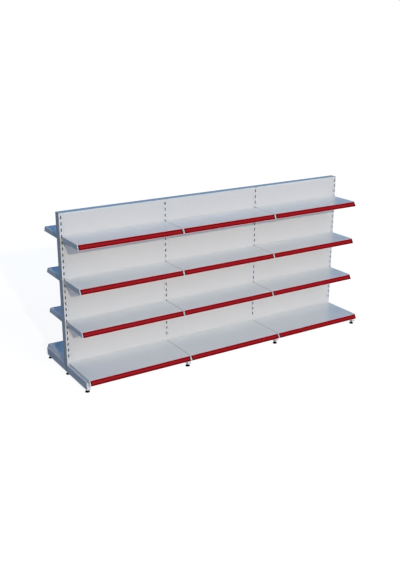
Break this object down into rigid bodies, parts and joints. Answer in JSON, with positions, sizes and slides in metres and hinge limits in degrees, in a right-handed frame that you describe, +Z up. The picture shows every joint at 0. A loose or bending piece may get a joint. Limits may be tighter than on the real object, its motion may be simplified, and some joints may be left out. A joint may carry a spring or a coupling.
{
  "type": "double-sided gondola shelving",
  "caption": "Free-standing double-sided shop shelving: slotted uprights on levelled legs hold back panels and lift-off shelves with sloping red ticket strips.",
  "frame": {"origin": "on the floor under the middle of the run", "axes": "+X along the run of bays, -Y the front face, +Z up"},
  "size_m": [2.7814, 0.9016, 1.359],
  "materials": {
    "frame_paint": "powder coat, semi-gloss",
    "panel_paint": "powder coat, satin",
    "shelf_paint": "powder coat, gloss",
    "cap_plastic": "moulded",
    "ticket_red": "extruded, glossy",
    "foot_black": "moulded"
  },
  "bodies": {
    "frame": {"upright_1": "frame_paint", "upright_2": "frame_paint", "upright_3": "frame_paint", "upright_4": "frame_paint", "upright_caps": "cap_plastic", "base_legs": "frame_paint", "leg_end_caps": "cap_plastic", "base_beams": "frame_paint", "top_rails": "frame_paint", "back_panels": "panel_paint", "shelf_brackets": "frame_paint"},
    "feet": {"levelling_feet": "foot_black"},
    "base_shelf_front_bay_1": {"base_shelf_front_bay_1": "shelf_paint", "base_ticket_strip_front_bay_1": "ticket_red"},
    "lower_shelf_front_bay_1": {"lower_shelf_front_bay_1": "shelf_paint", "lower_ticket_strip_front_bay_1": "ticket_red"},
    "middle_shelf_front_bay_1": {"middle_shelf_front_bay_1": "shelf_paint", "middle_ticket_strip_front_bay_1": "ticket_red"},
    "top_shelf_front_bay_1": {"top_shelf_front_bay_1": "shelf_paint", "top_ticket_strip_front_bay_1": "ticket_red"},
    "base_shelf_front_bay_2": {"base_shelf_front_bay_2": "shelf_paint", "base_ticket_strip_front_bay_2": "ticket_red"},
    "lower_shelf_front_bay_2": {"lower_shelf_front_bay_2": "shelf_paint", "lower_ticket_strip_front_bay_2": "ticket_red"},
    "middle_shelf_front_bay_2": {"middle_shelf_front_bay_2": "shelf_paint", "middle_ticket_strip_front_bay_2": "ticket_red"},
    "top_shelf_front_bay_2": {"top_shelf_front_bay_2": "shelf_paint", "top_ticket_strip_front_bay_2": "ticket_red"},
    "base_shelf_front_bay_3": {"base_shelf_front_bay_3": "shelf_paint", "base_ticket_strip_front_bay_3": "ticket_red"},
    "lower_shelf_front_bay_3": {"lower_shelf_front_bay_3": "shelf_paint", "lower_ticket_strip_front_bay_3": "ticket_red"},
    "middle_shelf_front_bay_3": {"middle_shelf_front_bay_3": "shelf_paint", "middle_ticket_strip_front_bay_3": "ticket_red"},
    "top_shelf_front_bay_3": {"top_shelf_front_bay_3": "shelf_paint", "top_ticket_strip_front_bay_3": "ticket_red"},
    "base_shelf_rear_bay_1": {"base_shelf_rear_bay_1": "shelf_paint", "base_ticket_strip_rear_bay_1": "ticket_red"},
    "lower_shelf_rear_bay_1": {"lower_shelf_rear_bay_1": "shelf_paint", "lower_ticket_strip_rear_bay_1": "ticket_red"},
    "middle_shelf_rear_bay_1": {"middle_shelf_rear_bay_1": "shelf_paint", "middle_ticket_strip_rear_bay_1": "ticket_red"},
    "top_shelf_rear_bay_1": {"top_shelf_rear_bay_1": "shelf_paint", "top_ticket_strip_rear_bay_1": "ticket_red"},
    "base_shelf_rear_bay_2": {"base_shelf_rear_bay_2": "shelf_paint", "base_ticket_strip_rear_bay_2": "ticket_red"},
    "lower_shelf_rear_bay_2": {"lower_shelf_rear_bay_2": "shelf_paint", "lower_ticket_strip_rear_bay_2": "ticket_red"},
    "middle_shelf_rear_bay_2": {"middle_shelf_rear_bay_2": "shelf_paint", "middle_ticket_strip_rear_bay_2": "ticket_red"},
    "top_shelf_rear_bay_2": {"top_shelf_rear_bay_2": "shelf_paint", "top_ticket_strip_rear_bay_2": "ticket_red"},
    "base_shelf_rear_bay_3": {"base_shelf_rear_bay_3": "shelf_paint", "base_ticket_strip_rear_bay_3": "ticket_red"},
    "lower_shelf_rear_bay_3": {"lower_shelf_rear_bay_3": "shelf_paint", "lower_ticket_strip_rear_bay_3": "ticket_red"},
    "middle_shelf_rear_bay_3": {"middle_shelf_rear_bay_3": "shelf_paint", "middle_ticket_strip_rear_bay_3": "ticket_red"},
    "top_shelf_rear_bay_3": {"top_shelf_rear_bay_3": "shelf_paint", "top_ticket_strip_rear_bay_3": "ticket_red"}
  },
  "joints": [
    {"name": "feet_level", "type": "slide", "parent": "feet", "child": "frame", "axis": [0, 0, 1], "range_m": [0, 0.015]},
    {"name": "lift_base_shelf_front_bay_1", "type": "slide", "parent": "frame", "child": "base_shelf_front_bay_1", "axis": [0, 0, 1], "range_m": [0, 0.06]},
    {"name": "lift_lower_shelf_front_bay_1", "type": "slide", "parent": "frame", "child": "lower_shelf_front_bay_1", "axis": [0, 0, 1], "range_m": [0, 0.06]},
    {"name": "lift_middle_shelf_front_bay_1", "type": "slide", "parent": "frame", "child": "middle_shelf_front_bay_1", "axis": [0, 0, 1], "range_m": [0, 0.06]},
    {"name": "lift_top_shelf_front_bay_1", "type": "slide", "parent": "frame", "child": "top_shelf_front_bay_1", "axis": [0, 0, 1], "range_m": [0, 0.06]},
    {"name": "lift_base_shelf_front_bay_2", "type": "slide", "parent": "frame", "child": "base_shelf_front_bay_2", "axis": [0, 0, 1], "range_m": [0, 0.06]},
    {"name": "lift_lower_shelf_front_bay_2", "type": "slide", "parent": "frame", "child": "lower_shelf_front_bay_2", "axis": [0, 0, 1], "range_m": [0, 0.06]},
    {"name": "lift_middle_shelf_front_bay_2", "type": "slide", "parent": "frame", "child": "middle_shelf_front_bay_2", "axis": [0, 0, 1], "range_m": [0, 0.06]},
    {"name": "lift_top_shelf_front_bay_2", "type": "slide", "parent": "frame", "child": "top_shelf_front_bay_2", "axis": [0, 0, 1], "range_m": [0, 0.06]},
    {"name": "lift_base_shelf_front_bay_3", "type": "slide", "parent": "frame", "child": "base_shelf_front_bay_3", "axis": [0, 0, 1], "range_m": [0, 0.06]},
    {"name": "lift_lower_shelf_front_bay_3", "type": "slide", "parent": "frame", "child": "lower_shelf_front_bay_3", "axis": [0, 0, 1], "range_m": [0, 0.06]},
    {"name": "lift_middle_shelf_front_bay_3", "type": "slide", "parent": "frame", "child": "middle_shelf_front_bay_3", "axis": [0, 0, 1], "range_m": [0, 0.06]},
    {"name": "lift_top_shelf_front_bay_3", "type": "slide", "parent": "frame", "child": "top_shelf_front_bay_3", "axis": [0, 0, 1], "range_m": [0, 0.06]},
    {"name": "lift_base_shelf_rear_bay_1", "type": "slide", "parent": "frame", "child": "base_shelf_rear_bay_1", "axis": [0, 0, 1], "range_m": [0, 0.06]},
    {"name": "lift_lower_shelf_rear_bay_1", "type": "slide", "parent": "frame", "child": "lower_shelf_rear_bay_1", "axis": [0, 0, 1], "range_m": [0, 0.06]},
    {"name": "lift_middle_shelf_rear_bay_1", "type": "slide", "parent": "frame", "child": "middle_shelf_rear_bay_1", "axis": [0, 0, 1], "range_m": [0, 0.06]},
    {"name": "lift_top_shelf_rear_bay_1", "type": "slide", "parent": "frame", "child": "top_shelf_rear_bay_1", "axis": [0, 0, 1], "range_m": [0, 0.06]},
    {"name": "lift_base_shelf_rear_bay_2", "type": "slide", "parent": "frame", "child": "base_shelf_rear_bay_2", "axis": [0, 0, 1], "range_m": [0, 0.06]},
    {"name": "lift_lower_shelf_rear_bay_2", "type": "slide", "parent": "frame", "child": "lower_shelf_rear_bay_2", "axis": [0, 0, 1], "range_m": [0, 0.06]},
    {"name": "lift_middle_shelf_rear_bay_2", "type": "slide", "parent": "frame", "child": "middle_shelf_rear_bay_2", "axis": [0, 0, 1], "range_m": [0, 0.06]},
    {"name": "lift_top_shelf_rear_bay_2", "type": "slide", "parent": "frame", "child": "top_shelf_rear_bay_2", "axis": [0, 0, 1], "range_m": [0, 0.06]},
    {"name": "lift_base_shelf_rear_bay_3", "type": "slide", "parent": "frame", "child": "base_shelf_rear_bay_3", "axis": [0, 0, 1], "range_m": [0, 0.06]},
    {"name": "lift_lower_shelf_rear_bay_3", "type": "slide", "parent": "frame", "child": "lower_shelf_rear_bay_3", "axis": [0, 0, 1], "range_m": [0, 0.06]},
    {"name": "lift_middle_shelf_rear_bay_3", "type": "slide", "parent": "frame", "child": "middle_shelf_rear_bay_3", "axis": [0, 0, 1], "range_m": [0, 0.06]},
    {"name": "lift_top_shelf_rear_bay_3", "type": "slide", "parent": "frame", "child": "top_shelf_rear_bay_3", "axis": [0, 0, 1], "range_m": [0, 0.06]}
  ]
}
